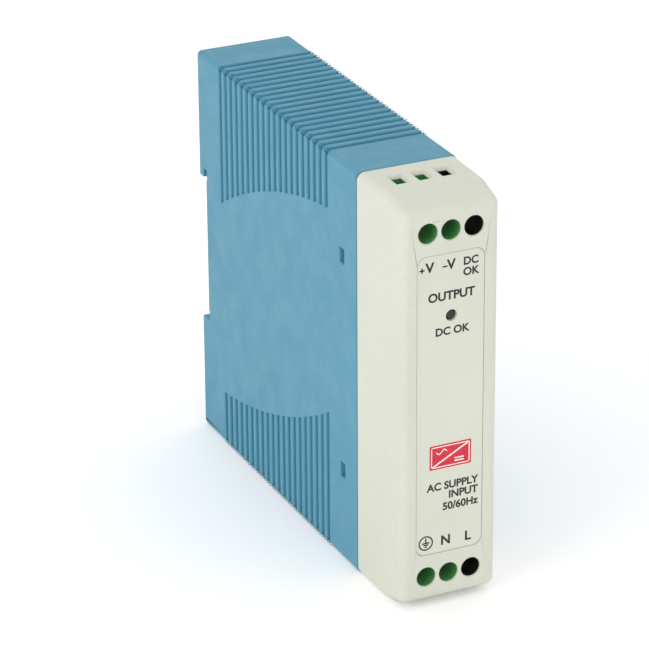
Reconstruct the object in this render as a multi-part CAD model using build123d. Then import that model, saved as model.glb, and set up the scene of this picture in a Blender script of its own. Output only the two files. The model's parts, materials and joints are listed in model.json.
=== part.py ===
"""Slim power supply for a 35 mm mounting rail, built as an assembly of separate pieces.

Frame: X across the width, Y from the front face (low) to the rail side (high), Z up.
Every piece is modelled with y counted from the front face, and save() then moves it so that
the origin is at the centre of the case's bottom face.  All sizes are in millimetres.
"""

from build123d import *
import os

# Case
WIDTH = 22.5
HEIGHT = 90.0
DEPTH = 100.0
WALL = 1.8
CASE_CORNER = 1.2
CAVITY_CORNER = 0.8
FLOOR_THICKNESS = 1.8
FIT = 0.15  # slack between pieces that are pushed together
TOUCH_GAP = 0.25  # board face to a part that lies on it
SLIDE_GAP = 0.3  # slack round a piece that moves

# Front cover
NOSE_DEPTH = 20.0
NOSE_WALL = 1.8
FACE_WALL = 2.0
NOSE_SLOPE_RUN = 6.8
NOSE_SLOPE_DROP = 2.06
NOSE_FACE_RADIUS = 1.8
NOSE_TAPER = 0.5  # how much narrower each side is at the face
NOSE_EDGE = 1.7
SEAM_WIDTH = 0.4
SEAM_DEPTH = 0.5
TONGUE_THICKNESS = 1.2
TONGUE_WIDTH = 8.0
TONGUE_REACH = 9.1
TONGUE_ROOT = 7.0
HOOK_HEIGHT = 1.2
LIP_REACH = 2.4
LIP_THICKNESS = 0.8
LIP_WIDTH = 8.0
LIP_INSET = 1.5  # main board's face to the lips
ROOT_DEPTH = 0.3  # how far a tongue or lip is sunk into the wall it grows from

# Snap windows in the side walls
WINDOW_SETBACK = 5.8
WINDOW_DEPTH = 2.2
WINDOW_HEIGHT = 3.3
WINDOW_RISE = 24.3  # from the case's mid height

# Decorative grooves, with vent slots in their floors at the top and the bottom
GROOVE_COUNT = 20
GROOVE_PITCH = 2.824
GROOVE_WIDTH = 1.34
GROOVE_DEPTH = 0.65
GROOVE_CORNER = 1.5
GROOVE_SETBACK = 14.17  # seam to the first groove
BAND_RADIUS = 142.6
BAND_CENTRE_DEPTH = 45.4
BAND_CENTRE_HEIGHT = 109.0
BAND_MIDDLE = 60.7
VENT_WIDTH = 0.7
VENT_LENGTH = 13.0

# Label panel
LABEL_WIDTH = 15.1
LABEL_HEIGHT = 66.2
LABEL_LOW = 12.0
LABEL_RADIUS = 2.0
LABEL_RECESS = 0.35
LABEL_THICKNESS = 0.2

# Terminals
POLES = 3
POLE_PITCH = 5.08
TERMINAL_INSET = 7.0  # screw axis to the top or bottom face
ACCESS_RADIUS = 2.15
ACCESS_CHAMFER = 0.2
FACE_SKIN = 0.6  # what is left of the cover's face in front of the terminal bodies
ROOF_SKIN = 0.8  # what is left of the cover's roof above the terminal bodies
GUIDE_REACH = 2.9  # screw axis to the edges of the guide behind the face
GUIDE_WALL = 0.7
ENTRY_WIDTH = 2.5
ENTRY_LENGTH = 3.9
ENTRY_START = 11.1
ENTRY_FLARE = 0.5
ENTRY_STEP = 0.2  # how far the way in the body is wider than the entry
OVERCUT = 0.05  # how far a funnel starts above the roof that it cuts
BLOCK_REACH = 4.1  # screw axis to the block's top and bottom faces
BLOCK_GAP = 0.3  # cover's side wall to the terminal bodies
BLOCK_SPLIT = 0.1  # between the two bodies of a row
BLOCK_CHAMFER = 2.6
BLOCK_START = 2.5
HEAD_START = 6.8
HEAD_RADIUS = 1.95
HEAD_THICKNESS = 1.6
HEAD_GAP = 0.08
SLOT_WIDTH = 0.6
SLOT_DEPTH = 0.8
SHANK_RADIUS = 1.45
THREAD_GAP = 0.05
WEB_THICKNESS = 0.6
CAGE_WIDTH = 4.1
CAGE_HEIGHT = 4.4
CAGE_NUT = 1.1
CAGE_JAW = 0.8
CAGE_SIDE = 0.5
CAGE_GAP = 0.2
CLAMP_TRAVEL = 1.6
BAR_THICKNESS = 0.6
BAR_WIDTH = 2.6
BAR_LEAD = 0.4
WIRE_SPACE = 1.9
WIRE_WAY = 3.3
PIN_WIDTH = 1.0
BLOCK_BACK = 1.4

# Rail seat and latch
RAIL_HEIGHT = 35.0
RAIL_FLANGE = 1.0
RAIL_MIDDLE = 45.0
RAIL_SEAT_DEPTH = 3.5
SEAT_STEP = 0.2  # how far the seat stands proud of the strips at the hook and at the latch
RAIL_SLACK = 0.5
HOOK_OVERLAP = 1.5
LATCH_OVERLAP = 1.5
LATCH_TRAVEL = 4.0
LATCH_WIDTH = 12.0
LATCH_WING = 1.4
LATCH_WING_THICKNESS = 1.4
LATCH_PLATE_SETBACK = 5.5  # rear face to the front of the latch's wings
LATCH_FOOT = 0.8
LATCH_PRY_WIDTH = 4.5
LATCH_PRY_HEIGHT = 1.6
SPRING_RADIUS = 1.7
SPRING_WIRE = 0.5
SPRING_LOW = 11.5
SPRING_LENGTH = 11.0
PEG_HEIGHT = 2.0

# Boards
BOARD_THICKNESS = 1.6
BOARD_GAP = 0.4
BOARD_SETBACK = 3.45  # left inner wall to the main board's solder side
BOARD_END_GAP = 0.8
RIB_THICKNESS = 1.0
RIB_HEIGHT = 1.6
SHEET_THICKNESS = 0.3
SHEET_GAP = 1.4
LEAD_RADIUS = 0.35
LEAD_GAP = 0.12
LEAD_TAIL = 1.1
CHIP_STAND = 0.1

# Lamp
LAMP_OFFSET = 0.2
LAMP_HEIGHT = 64.6
PIPE_RADIUS = 1.15
PIPE_START = 0.6
LAMP_RADIUS = 1.5
LAMP_LENGTH = 3.6

# Places worked out from the sizes above
HALF = WIDTH / 2
INNER_HALF = HALF - WALL
MID = HEIGHT / 2
SEAT = DEPTH - RAIL_SEAT_DEPTH
LATCH_BACK = DEPTH - SLIDE_GAP
LATCH_FRONT = DEPTH - LATCH_PLATE_SETBACK
CAVITY_END = LATCH_FRONT - SLIDE_GAP - FLOOR_THICKNESS
NOSE_HALF = HALF - NOSE_WALL
BLOCK_HALF = NOSE_HALF - NOSE_TAPER - BLOCK_GAP
WAY_SPAN = (ENTRY_START - ENTRY_STEP, ENTRY_START + ENTRY_LENGTH + ENTRY_STEP)
ROOF_GUIDE = (WAY_SPAN[0] - GUIDE_WALL, WAY_SPAN[1] + GUIDE_WALL)
POLE_PLACES = [(pole - (POLES - 1) / 2) * POLE_PITCH for pole in range(POLES)]
WEB_START = HEAD_START + HEAD_THICKNESS + HEAD_GAP
CHAMBER_START = WEB_START + WEB_THICKNESS
CAGE_START = CHAMBER_START + CLAMP_TRAVEL + 0.1
BAR_START = CAGE_START + CAGE_NUT + BAR_LEAD
BAR_END = BAR_START + BAR_THICKNESS
JAW_START = BAR_END + WIRE_SPACE
CAGE_END = JAW_START + CAGE_JAW
CHAMBER_END = CAGE_END + CAGE_GAP
BLOCK_END_FACE = CHAMBER_END + BLOCK_BACK
FRONT_BOARD_END = BLOCK_END_FACE + BOARD_THICKNESS
BOARD_START = FRONT_BOARD_END + BOARD_GAP
BOARD_END = CAVITY_END - BOARD_END_GAP
BOARD_LEFT = -INNER_HALF + BOARD_SETBACK
BOARD_FACE = BOARD_LEFT + BOARD_THICKNESS
BOARD_LOW = WALL + BOARD_GAP
BOARD_HIGH = HEIGHT - WALL - BOARD_GAP
RAIL_LOW = RAIL_MIDDLE - RAIL_HEIGHT / 2
RAIL_HIGH = RAIL_MIDDLE + RAIL_HEIGHT / 2

lead_places = []


def save(name, shape):
    """Write one piece, with the origin at the centre of the case's bottom face."""
    export_step(Pos(0, -DEPTH / 2, 0) * shape, f"parts/{name}.step")


def block(x, y, z):
    """A box from its low and high sides along each axis."""
    centre = Pos((x[0] + x[1]) / 2, (y[0] + y[1]) / 2, (z[0] + z[1]) / 2)
    return centre * Box(x[1] - x[0], y[1] - y[0], z[1] - z[0])


def rod_x(radius, x, y, z):
    """A cylinder along X between the two values of x."""
    return Pos((x[0] + x[1]) / 2, y, z) * Rot(0, 90, 0) * Cylinder(radius, x[1] - x[0])


def rod_y(radius, x, y, z):
    """A cylinder along Y between the two values of y."""
    return Pos(x, (y[0] + y[1]) / 2, z) * Rot(90, 0, 0) * Cylinder(radius, y[1] - y[0])


def rod_z(radius, x, y, z):
    """A cylinder along Z between the two values of z."""
    return Pos(x, y, (z[0] + z[1]) / 2) * Cylinder(radius, z[1] - z[0])


def rounded_tube(half_width, low, high, radius, y):
    """A bar along Y with a rounded rectangular section."""
    plane = Plane.XZ.offset(-y[1])
    section = plane * Pos(0, (low + high) / 2) * RectangleRounded(2 * half_width, high - low, radius)
    return extrude(section, y[1] - y[0])


def above(half):
    """The given shape of the top half, as it is at the top."""
    return half


def below(half):
    """The given shape of the top half, mirrored to the bottom."""
    return mirror(half, Plane.XY.offset(MID))


# ---------------------------------------------------------------- rear housing


def groove_rings():
    """Grooves round the case, left out over the plain band on the sides."""
    inner_low = GROOVE_DEPTH
    inner_high = HEIGHT - GROOVE_DEPTH
    span = GROOVE_PITCH * (GROOVE_COUNT - 1) + 2 * GROOVE_WIDTH
    first = NOSE_DEPTH + GROOVE_SETBACK
    core_span = (first - GROOVE_WIDTH, first + span)
    core = rounded_tube(HALF - GROOVE_DEPTH, inner_low, inner_high, GROOVE_CORNER, core_span)
    rings = []
    for index in range(GROOVE_COUNT):
        start = first + index * GROOVE_PITCH - GROOVE_WIDTH / 2
        rings.append(block((-HALF - 1, HALF + 1), (start, start + GROOVE_WIDTH), (-1, HEIGHT + 1)))
    return Compound(rings) - core - plain_band()


def plain_band():
    """The smooth band across the sides, between two arcs that mirror each other through its centre."""
    middle = Plane.YZ.offset(-HALF - 2)
    reach = WIDTH + 4
    disc_high = Pos(BAND_MIDDLE - BAND_CENTRE_DEPTH, MID - BAND_CENTRE_HEIGHT) * Circle(BAND_RADIUS)
    disc_low = Pos(BAND_MIDDLE + BAND_CENTRE_DEPTH, MID + BAND_CENTRE_HEIGHT) * Circle(BAND_RADIUS)
    return extrude(middle * (disc_high & disc_low), reach)


def vent_slots():
    """Slots through the groove floors, at the top and at the bottom."""
    slots = []
    for index in range(GROOVE_COUNT):
        centre = NOSE_DEPTH + GROOVE_SETBACK + index * GROOVE_PITCH
        span = (centre - VENT_WIDTH / 2, centre + VENT_WIDTH / 2)
        across = (-VENT_LENGTH / 2, VENT_LENGTH / 2)
        slots.append(block(across, span, (-1, WALL + 0.5)))
        slots.append(block(across, span, (HEIGHT - WALL - 0.5, HEIGHT + 1)))
    return Compound(slots)


def rail_notch():
    """The space for the rail: a channel, a slot behind the fixed hook, and a raised seat between."""
    flange_slot = RAIL_FLANGE + RAIL_SLACK
    across = (-HALF - 1, HALF + 1)
    hook_low = RAIL_HIGH - HOOK_OVERLAP
    low = RAIL_LOW - RAIL_SLACK
    back = SEAT - SEAT_STEP
    channel = block(across, (SEAT, DEPTH + 1), (low, hook_low))
    slot = block(across, (back, SEAT + flange_slot), (hook_low - 0.3, RAIL_HIGH + RAIL_SLACK))
    latch_side = block(across, (back, DEPTH), (low, RAIL_LOW + LATCH_OVERLAP + 0.3))
    return channel + slot + latch_side


def latch_channel():
    """The T-shaped channel that guides the latch, open at the bottom."""
    top = RAIL_LOW - RAIL_SLACK
    wing_half = LATCH_WIDTH / 2 + LATCH_WING + SLIDE_GAP
    wing_span = (LATCH_FRONT - SLIDE_GAP, LATCH_FRONT + LATCH_WING_THICKNESS + SLIDE_GAP)
    wide = block((-wing_half, wing_half), wing_span, (-1, top + 0.8))
    narrow_half = LATCH_WIDTH / 2 + SLIDE_GAP
    narrow = block((-narrow_half, narrow_half), (LATCH_FRONT, DEPTH + 1), (-1, top + 0.8))
    return wide + narrow


def spring_peg():
    """The post on the housing that the latch spring stands on."""
    half = SPRING_RADIUS - 0.1
    return block((-half, half), (CAVITY_END + 0.5, DEPTH - 1.0), (SPRING_LOW - PEG_HEIGHT, SPRING_LOW))


def board_ribs():
    """Pairs of ribs that hold the main board by its top and bottom edges."""
    span = (NOSE_DEPTH + LIP_REACH + 8, CAVITY_END)
    ribs = []
    for left in (BOARD_LEFT - FIT - RIB_THICKNESS, BOARD_FACE + FIT):
        ribs.append(block((left, left + RIB_THICKNESS), span, (WALL - 0.3, WALL + RIB_HEIGHT)))
    pair = Compound(ribs)
    return pair, below(pair)


def snap_windows(grow):
    """The openings in the side walls for the cover's hooks, as boxes a little past the walls."""
    span = (NOSE_DEPTH + WINDOW_SETBACK, NOSE_DEPTH + WINDOW_SETBACK + WINDOW_DEPTH)
    windows = []
    for centre in (MID + WINDOW_RISE, MID - WINDOW_RISE):
        rise = (centre - WINDOW_HEIGHT / 2, centre + WINDOW_HEIGHT / 2)
        windows.append(block((-HALF - grow, HALF + grow), span, rise))
    return windows


def make_rear_housing():
    shell = rounded_tube(HALF, 0, HEIGHT, CASE_CORNER, (NOSE_DEPTH, DEPTH))
    cavity = rounded_tube(INNER_HALF, WALL, HEIGHT - WALL, CAVITY_CORNER, (NOSE_DEPTH - 1, CAVITY_END))
    shell = shell - cavity
    shell = shell - rail_notch()
    shell = shell - latch_channel()
    for window in snap_windows(1):
        shell = shell - window
    shell = shell - groove_rings()
    shell = shell - vent_slots()
    shell = shell + spring_peg()
    for pair in board_ribs():
        shell = shell + pair
    return shell


# ---------------------------------------------------------------- latch


def make_rail_latch():
    """The sliding latch: wings in the channel, a rib behind them and a sloped nose behind the rail."""
    half = LATCH_WIDTH / 2
    wing_half = half + LATCH_WING
    top = RAIL_LOW - RAIL_SLACK
    wings = block(
        (-wing_half, wing_half),
        (LATCH_FRONT, LATCH_FRONT + LATCH_WING_THICKNESS),
        (LATCH_FOOT + LATCH_TRAVEL, top),
    )
    rib = block((-half, half), (LATCH_FRONT, LATCH_BACK), (LATCH_FOOT, top))
    nose_front = SEAT + RAIL_FLANGE + RAIL_SLACK
    nose_top = RAIL_LOW + LATCH_OVERLAP
    outline = Polyline(
        (nose_front, top - 2),
        (nose_front, nose_top),
        (nose_front + 0.5, nose_top),
        (LATCH_BACK, top + 0.2),
        (LATCH_BACK, top - 2),
        close=True,
    )
    nose = extrude(Plane.YZ.offset(-half) * make_face(outline), LATCH_WIDTH)
    window_half = SPRING_RADIUS + SLIDE_GAP
    window_low = SPRING_LOW - PEG_HEIGHT - SLIDE_GAP
    window_high = SPRING_LOW + SPRING_LENGTH
    window = block((-window_half, window_half), (0, DEPTH), (window_low, window_high))
    pry_half = LATCH_PRY_WIDTH / 2
    pry_low = LATCH_FOOT + 1.4
    pry = block((-pry_half, pry_half), (SEAT, DEPTH), (pry_low, pry_low + LATCH_PRY_HEIGHT))
    return wings + rib + nose - window - pry


def make_latch_spring():
    """The spring's envelope: a tube as long as the spring is at rest."""
    middle = (LATCH_FRONT + LATCH_BACK) / 2
    span = (SPRING_LOW, SPRING_LOW + SPRING_LENGTH)
    outer = rod_z(SPRING_RADIUS, 0, middle, span)
    return outer - rod_z(SPRING_RADIUS - SPRING_WIRE, 0, middle, span)


# ---------------------------------------------------------------- front cover


def nose_side(inset, rear):
    """The cover's outline seen from the side, drawn smaller all round by the inset."""
    slope_in = inset * 0.85
    corner = max(NOSE_FACE_RADIUS - inset, 0.3)
    points = [
        (inset, NOSE_SLOPE_DROP + slope_in),
        (NOSE_SLOPE_RUN, inset),
        (rear, inset),
        (rear, HEIGHT - inset),
        (NOSE_SLOPE_RUN, HEIGHT - inset),
        (inset, HEIGHT - NOSE_SLOPE_DROP - slope_in),
    ]
    face = make_face(Polyline(*points, close=True))
    ends = [corner_point for corner_point in face.vertices() if corner_point.X < inset + 0.01]
    return fillet(ends, corner)


def nose_plan(inset, rear):
    """The cover's outline seen from above, a little narrower at the front."""
    side = HALF - inset
    draft = NOSE_TAPER / NOSE_DEPTH
    outline = Polyline(
        (-side - draft * (rear - NOSE_DEPTH), rear),
        (-side + NOSE_TAPER, 0),
        (side - NOSE_TAPER, 0),
        (side + draft * (rear - NOSE_DEPTH), rear),
        close=True,
    )
    return make_face(outline)


def nose_blank(inset, face_inset, rear):
    """The solid nose: its side outline and its plan outline, each pushed through the other."""
    side = extrude(Plane.YZ.offset(-HALF - 1) * nose_side(face_inset, rear), WIDTH + 2)
    plan = extrude(Plane.XY.offset(-1) * nose_plan(inset, rear), HEIGHT + 2)
    return side & plan


def side_edges(blank):
    """The edges that run round the two sides of the nose, without those at the seam."""
    chosen = []
    for edge in blank.edges():
        centre = edge.center()
        if abs(centre.X) > HALF - NOSE_TAPER - 0.1 and centre.Y < NOSE_DEPTH - 0.01:
            chosen.append(edge)
    return chosen


def access_holes():
    """Screwdriver holes in the face, each with a small chamfer."""
    tools = []
    for x in POLE_PLACES:
        z = HEIGHT - TERMINAL_INSET
        tools.append(rod_y(ACCESS_RADIUS, x, (-1, FACE_WALL + 1), z))
        rim = Cone(ACCESS_RADIUS, ACCESS_RADIUS + ACCESS_CHAMFER, ACCESS_CHAMFER)
        tools.append(Pos(x, ACCESS_CHAMFER / 2, z) * Rot(90, 0, 0) * rim)
    return tools


def wire_entries():
    """Rectangular wire entries in the top, each with a funnel round it."""
    tools = []
    middle = ENTRY_START + ENTRY_LENGTH / 2
    for x in POLE_PLACES:
        wide = Rectangle(ENTRY_WIDTH + 2 * ENTRY_FLARE, ENTRY_LENGTH + 2 * ENTRY_FLARE)
        narrow = Rectangle(ENTRY_WIDTH, ENTRY_LENGTH)
        top = Pos(x, middle, HEIGHT + OVERCUT) * wide
        foot = Pos(x, middle, HEIGHT + OVERCUT - ROOF_SKIN) * narrow
        tools.append(loft([foot, top]))
        tools.append(Pos(x, middle, HEIGHT - ROOF_SKIN) * Box(ENTRY_WIDTH, ENTRY_LENGTH, ROOF_SKIN))
    return tools


def guide_recesses():
    """Recesses behind the face and under the roof, which the terminal bodies' guides fill."""
    half = BLOCK_HALF + FIT
    z = HEIGHT - TERMINAL_INSET
    rise = (z - GUIDE_REACH - FIT, z + GUIDE_REACH + FIT)
    behind_face = block((-half, half), (FACE_SKIN, FACE_WALL + 1), rise)
    roof_span = (ROOF_GUIDE[0] - FIT, ROOF_GUIDE[1] + FIT)
    under_roof = block((-half, half), roof_span, (HEIGHT - NOSE_WALL - 1, HEIGHT - ROOF_SKIN))
    return [behind_face, under_roof]


def cover_tongues():
    """Snap tongues that reach into the housing, each with a hook for its window."""
    outer = INNER_HALF - FIT
    inner = outer - TONGUE_THICKNESS
    tip = NOSE_DEPTH + TONGUE_REACH
    hook_end = NOSE_DEPTH + WINDOW_SETBACK + WINDOW_DEPTH - FIT
    hook_start = NOSE_DEPTH + WINDOW_SETBACK + FIT
    pieces = []
    for centre in (MID + WINDOW_RISE, MID - WINDOW_RISE):
        rise = (centre - TONGUE_WIDTH / 2, centre + TONGUE_WIDTH / 2)
        hook_half = WINDOW_HEIGHT / 2 - FIT
        tongue = block((inner, outer), (NOSE_DEPTH - TONGUE_ROOT, tip), rise)
        root = block((inner, NOSE_HALF + ROOT_DEPTH), (NOSE_DEPTH - TONGUE_ROOT, NOSE_DEPTH - 1), rise)
        outline = Polyline(
            (outer - 0.2, hook_start),
            (outer + HOOK_HEIGHT, hook_start),
            (outer + HOOK_HEIGHT, hook_start + 0.5),
            (outer - 0.2, hook_end),
            close=True,
        )
        plane = Plane.XY.offset(centre - hook_half)
        hook = extrude(plane * make_face(outline), 2 * hook_half)
        right = tongue + root + hook
        pieces.append(right)
        pieces.append(mirror(right, Plane.YZ))
    return pieces


def cover_lips():
    """Locating lips at the top and the bottom, behind the terminals and clear of the main board."""
    across = (BOARD_FACE + LIP_INSET, BOARD_FACE + LIP_INSET + LIP_WIDTH)
    start = BLOCK_END_FACE + FIT
    high = WALL + FIT + LIP_THICKNESS
    lip = block(across, (start, NOSE_DEPTH + LIP_REACH), (WALL + FIT, high))
    root = block(across, (start, NOSE_DEPTH - SEAM_WIDTH), (NOSE_WALL - ROOT_DEPTH, high))
    low = lip + root
    return low, below(low)


def seam_groove():
    """The shadow gap round the cover's rear edge."""
    ring = (NOSE_DEPTH - SEAM_WIDTH, NOSE_DEPTH + 1)
    outer = block((-HALF - 1, HALF + 1), ring, (-1, HEIGHT + 1))
    corner = CASE_CORNER - SEAM_DEPTH
    return outer - rounded_tube(HALF - SEAM_DEPTH, SEAM_DEPTH, HEIGHT - SEAM_DEPTH, corner, ring)


def label_panel(thickness, slack):
    """A rounded panel on the cover's face, from the face inwards."""
    width = LABEL_WIDTH - 2 * slack
    height = LABEL_HEIGHT - 2 * slack
    outline = Plane.XZ * Pos(0, LABEL_LOW + LABEL_HEIGHT / 2) * RectangleRounded(width, height, LABEL_RADIUS)
    return extrude(outline, -thickness)


def make_front_cover():
    blank = nose_blank(0, 0, NOSE_DEPTH)
    blank = fillet(side_edges(blank), NOSE_EDGE)
    cover = blank - nose_blank(NOSE_WALL, FACE_WALL, NOSE_DEPTH + 5)
    cover = cover - label_panel(LABEL_RECESS, 0)
    for hole in access_holes() + wire_entries() + guide_recesses():
        cover = cover - above(hole)
        cover = cover - below(hole)
    cover = cover - rod_y(PIPE_RADIUS + 0.1, LAMP_OFFSET, (-1, FACE_WALL + 1), LAMP_HEIGHT)
    cover = cover - seam_groove()
    for tongue in cover_tongues():
        cover = cover + tongue
    for lip in cover_lips():
        cover = cover + lip
    return cover


def make_front_label():
    sheet = Pos(0, LABEL_RECESS - LABEL_THICKNESS, 0) * label_panel(LABEL_THICKNESS, 0.1)
    return sheet - rod_y(PIPE_RADIUS + 0.1, LAMP_OFFSET, (-1, FACE_WALL), LAMP_HEIGHT)


# ---------------------------------------------------------------- terminals


def pole_cut(x):
    """Everything that is hollow in one pole: screw bore, clamp chamber, wire way and pin slot."""
    z = HEIGHT - TERMINAL_INSET
    half = CAGE_WIDTH / 2 + CAGE_GAP
    rise = CAGE_HEIGHT / 2 + CAGE_GAP
    guide = rod_y(ACCESS_RADIUS + 0.05, x, (0, HEAD_START - GUIDE_WALL), z)
    bore = rod_y(HEAD_RADIUS + HEAD_GAP, x, (HEAD_START - 1, WEB_START), z)
    web_hole = rod_y(SHANK_RADIUS + CAGE_GAP, x, (WEB_START - 1, CHAMBER_START + 1), z)
    chamber = block((x - half, x + half), (CHAMBER_START, CHAMBER_END), (z - rise, z + rise))
    across = (x - WIRE_WAY / 2, x + WIRE_WAY / 2)
    wire_way = block(across, (BAR_END, JAW_START), (z, HEIGHT))
    wide_way = block(across, WAY_SPAN, (z + rise + GUIDE_WALL, HEIGHT))
    bar_half = BAR_WIDTH / 2 + FIT
    slot_rise = (z - BLOCK_REACH + 0.4, z)
    slot = block((x - bar_half, x + bar_half), (BAR_START - FIT, BAR_END + FIT), slot_rise)
    pin_half = PIN_WIDTH / 2 + FIT
    pin_rise = (slot_rise[0], z - rise + 0.1)
    pin_way = block((x - pin_half, x + pin_half), (BAR_START, BLOCK_END_FACE + 1), pin_rise)
    return [guide, bore, web_hole, chamber, wire_way, wide_way, slot, pin_way]


def make_terminal_body(first, last):
    """The moulded body of neighbouring poles, from the first to the last."""
    z = HEIGHT - TERMINAL_INSET
    left = -BLOCK_HALF if first == 0 else POLE_PLACES[first] - POLE_PITCH / 2
    right = BLOCK_HALF if last == POLES - 1 else POLE_PLACES[last] + POLE_PITCH / 2 - BLOCK_SPLIT
    body = block((left, right), (BLOCK_START, BLOCK_END_FACE), (z - BLOCK_REACH, z + BLOCK_REACH))
    edge = body.edges().filter_by(Axis.X).sort_by(lambda item: item.center().Y - item.center().Z)[0]
    body = chamfer(edge, BLOCK_CHAMFER)
    guide_span = (FACE_SKIN + FIT, BLOCK_START + 1)
    body = body + block((left, right), guide_span, (z - GUIDE_REACH, z + GUIDE_REACH))
    body = body + block((left, right), ROOF_GUIDE, (z, HEIGHT - ROOF_SKIN - FIT))
    for pole in range(first, last + 1):
        for tool in pole_cut(POLE_PLACES[pole]):
            body = body - tool
    return body


def make_terminal_screw(x):
    z = HEIGHT - TERMINAL_INSET
    head = rod_y(HEAD_RADIUS, x, (HEAD_START, HEAD_START + HEAD_THICKNESS), z)
    shank = rod_y(SHANK_RADIUS, x, (HEAD_START + HEAD_THICKNESS - 0.1, BAR_START - THREAD_GAP), z)
    slot = block(
        (x - SLOT_WIDTH / 2, x + SLOT_WIDTH / 2),
        (HEAD_START - 1, HEAD_START + SLOT_DEPTH),
        (z - HEAD_RADIUS - 1, z + HEAD_RADIUS + 1),
    )
    return head + shank - slot


def make_clamp_cage(x):
    """The clamp: a threaded wall for the screw, two sides and the jaw that lifts the wire."""
    z = HEIGHT - TERMINAL_INSET
    half = CAGE_WIDTH / 2
    rise = (z - CAGE_HEIGHT / 2, z + CAGE_HEIGHT / 2)
    cage = block((x - half, x + half), (CAGE_START, CAGE_END), rise)
    window_half = half - CAGE_SIDE
    cage = cage - block((x - window_half, x + window_half), (CAGE_START + CAGE_NUT, JAW_START), (0, HEIGHT))
    return cage - rod_y(SHANK_RADIUS + THREAD_GAP, x, (CAGE_START - 1, CAGE_START + CAGE_NUT + 0.5), z)


def make_contact_pin(x):
    """The fixed contact: a bar through the clamp, with a pin to the front board."""
    z = HEIGHT - TERMINAL_INSET
    low = z - BLOCK_REACH + 0.5
    half = BAR_WIDTH / 2
    bar = block((x - half, x + half), (BAR_START, BAR_END), (low, z + CAGE_HEIGHT / 2))
    pin_half = PIN_WIDTH / 2
    pin_tip = FRONT_BOARD_END + 0.25
    pin = block((x - pin_half, x + pin_half), (BAR_START, pin_tip), (low, low + BAR_THICKNESS))
    return bar + pin


def save_terminals():
    """The three output poles at the top and the three supply poles at the bottom."""
    for side, turn in (("dc", above), ("ac", below)):
        save(f"{side}_terminal_pair_body", turn(make_terminal_body(0, POLES - 2)))
        save(f"{side}_terminal_single_body", turn(make_terminal_body(POLES - 1, POLES - 1)))
        pins = [make_contact_pin(x) for x in POLE_PLACES]
        save(f"{side}_contact_pins", turn(Compound(pins)))
        for pole, x in enumerate(POLE_PLACES, start=1):
            save(f"{side}_terminal_screw_{pole}", turn(make_terminal_screw(x)))
            save(f"{side}_clamp_cage_{pole}", turn(make_clamp_cage(x)))


# ---------------------------------------------------------------- parts on the main board


def leads(places, root):
    """Round leads from a component's root down through the board, at the given places."""
    pins = []
    for y, z in places:
        lead_places.append((y, z))
        pins.append(rod_x(LEAD_RADIUS, (BOARD_LEFT - LEAD_TAIL, root), y, z))
    return pins


def joined(body, pins):
    """A component's body with its leads."""
    for pin in pins:
        body = body + pin
    return body


def from_front(distance):
    """A place along the main board, counted from its front edge."""
    return BOARD_START + distance


def from_rear(distance):
    """A place along the main board, counted from its rear edge."""
    return BOARD_END - distance


def from_bottom(distance):
    """A height on the main board, counted from its bottom edge."""
    return BOARD_LOW + distance


def from_top(distance):
    """A height on the main board, counted down from its top edge."""
    return BOARD_HIGH - distance


def standing_disc(radius, thickness, y, z):
    """A disc part that stands on two leads, its axis along Z."""
    stand = 1.5
    middle = BOARD_FACE + stand + radius
    disc = rod_z(radius, middle, y, (z - thickness / 2, z + thickness / 2))
    pins = leads([(y - 2.5, z), (y + 2.5, z)], middle - radius * 0.6)
    return joined(disc, pins)


def standing_can(radius, height, y, z):
    """A round capacitor that stands on the board."""
    can = rod_x(radius, (BOARD_FACE + 0.3, BOARD_FACE + 0.3 + height), y, z)
    return joined(can, leads([(y, z - 1.75), (y, z + 1.75)], BOARD_FACE + 1))


def save_input_parts():
    """Fuse, surge parts, filter and rectifier, along the bottom of the board."""
    y = from_front(7)
    z = from_bottom(8)
    fuse = rod_x(4.2, (BOARD_FACE + 0.4, BOARD_FACE + 8.4), y, z)
    save("fuse", joined(fuse, leads([(y, z - 2.5), (y, z + 2.5)], BOARD_FACE + 1)))
    save("inrush_thermistor", standing_disc(4.5, 4.0, from_front(17), from_bottom(6)))
    save("varistor", standing_disc(4.5, 3.6, from_front(17), from_bottom(13)))

    y = from_front(30.5)
    z = from_bottom(6.5)
    box = block((BOARD_FACE + 0.4, BOARD_FACE + 12.0), (y - 6.5, y + 6.5), (z - 3, z + 3))
    save("filter_capacitor", joined(box, leads([(y - 5, z), (y + 5, z)], BOARD_FACE + 1)))

    y = from_front(30.5)
    z = from_bottom(13.5)
    body = block((BOARD_FACE + 1.5, BOARD_FACE + 12.5), (y - 7.3, y + 7.3), (z - 1.8, z + 1.8))
    places = [(y + step, z) for step in (-5.6, -1.9, 1.9, 5.6)]
    save("bridge_rectifier", joined(body, leads(places, BOARD_FACE + 2)))


def save_line_choke():
    """A closed core whose two long legs each carry a winding."""
    y = from_front(46.5)
    z = from_bottom(11)
    low = BOARD_FACE + 1.6
    leg = 3.0
    outer_half = 7.5
    core = block((low + 2.5, low + 2.5 + leg), (y - outer_half, y + outer_half), (z - 7.5, z + 7.5))
    hole_half = outer_half - leg
    core = core - block((low, low + 9), (y - hole_half, y + hole_half), (z - 7.5 + leg, z + 7.5 - leg))
    save("choke_core", core)
    windings = []
    for side in (-1, 1):
        centre = z + side * (7.5 - leg / 2)
        thick = 1.2
        outside = block(
            (low + 2.5 - thick, low + 2.5 + leg + thick),
            (y - hole_half + 0.5, y + hole_half - 0.5),
            (centre - leg / 2 - thick, centre + leg / 2 + thick),
        )
        way = 0.1
        inside = block(
            (low + 2.5 - way, low + 2.5 + leg + way),
            (y - hole_half, y + hole_half),
            (centre - leg / 2 - way, centre + leg / 2 + way),
        )
        winding = outside - inside
        places = [(y - 3.2, centre), (y + 3.2, centre)]
        windings.append(joined(winding, leads(places, low + 2.5 - thick + 0.3)))
    save("choke_windings", Compound(windings))


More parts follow.
